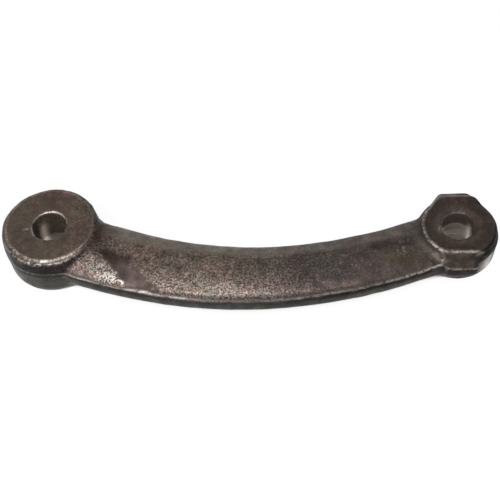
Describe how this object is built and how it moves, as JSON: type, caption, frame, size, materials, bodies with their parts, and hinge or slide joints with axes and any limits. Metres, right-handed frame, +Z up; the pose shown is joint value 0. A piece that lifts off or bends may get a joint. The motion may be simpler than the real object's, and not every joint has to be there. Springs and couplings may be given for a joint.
{
  "type": "idler arm",
  "caption": "Bowed forged steel steering idler arm with a large round pivot boss at one end and a small boss with two sloped stop lugs and a tapered stud hole at the other",
  "frame": {"origin": "The pivot bore's axis, in the plane where the two forging dies part", "axes": "+Z up the pivot bore's axis, out of the boss's upper face; +X from the pivot bore to the stud hole; the arm bows to -Y"},
  "size_m": [0.2319, 0.0617, 0.0217],
  "materials": {
    "forged_steel": "Bare drop forging, unpainted: dark brown-grey forge scale with a fine pitted grain, worn bright on the edges and along the arm's outer side"
  },
  "bodies": {
    "root": {"idler_arm": "forged_steel"}
  },
  "joints": []
}
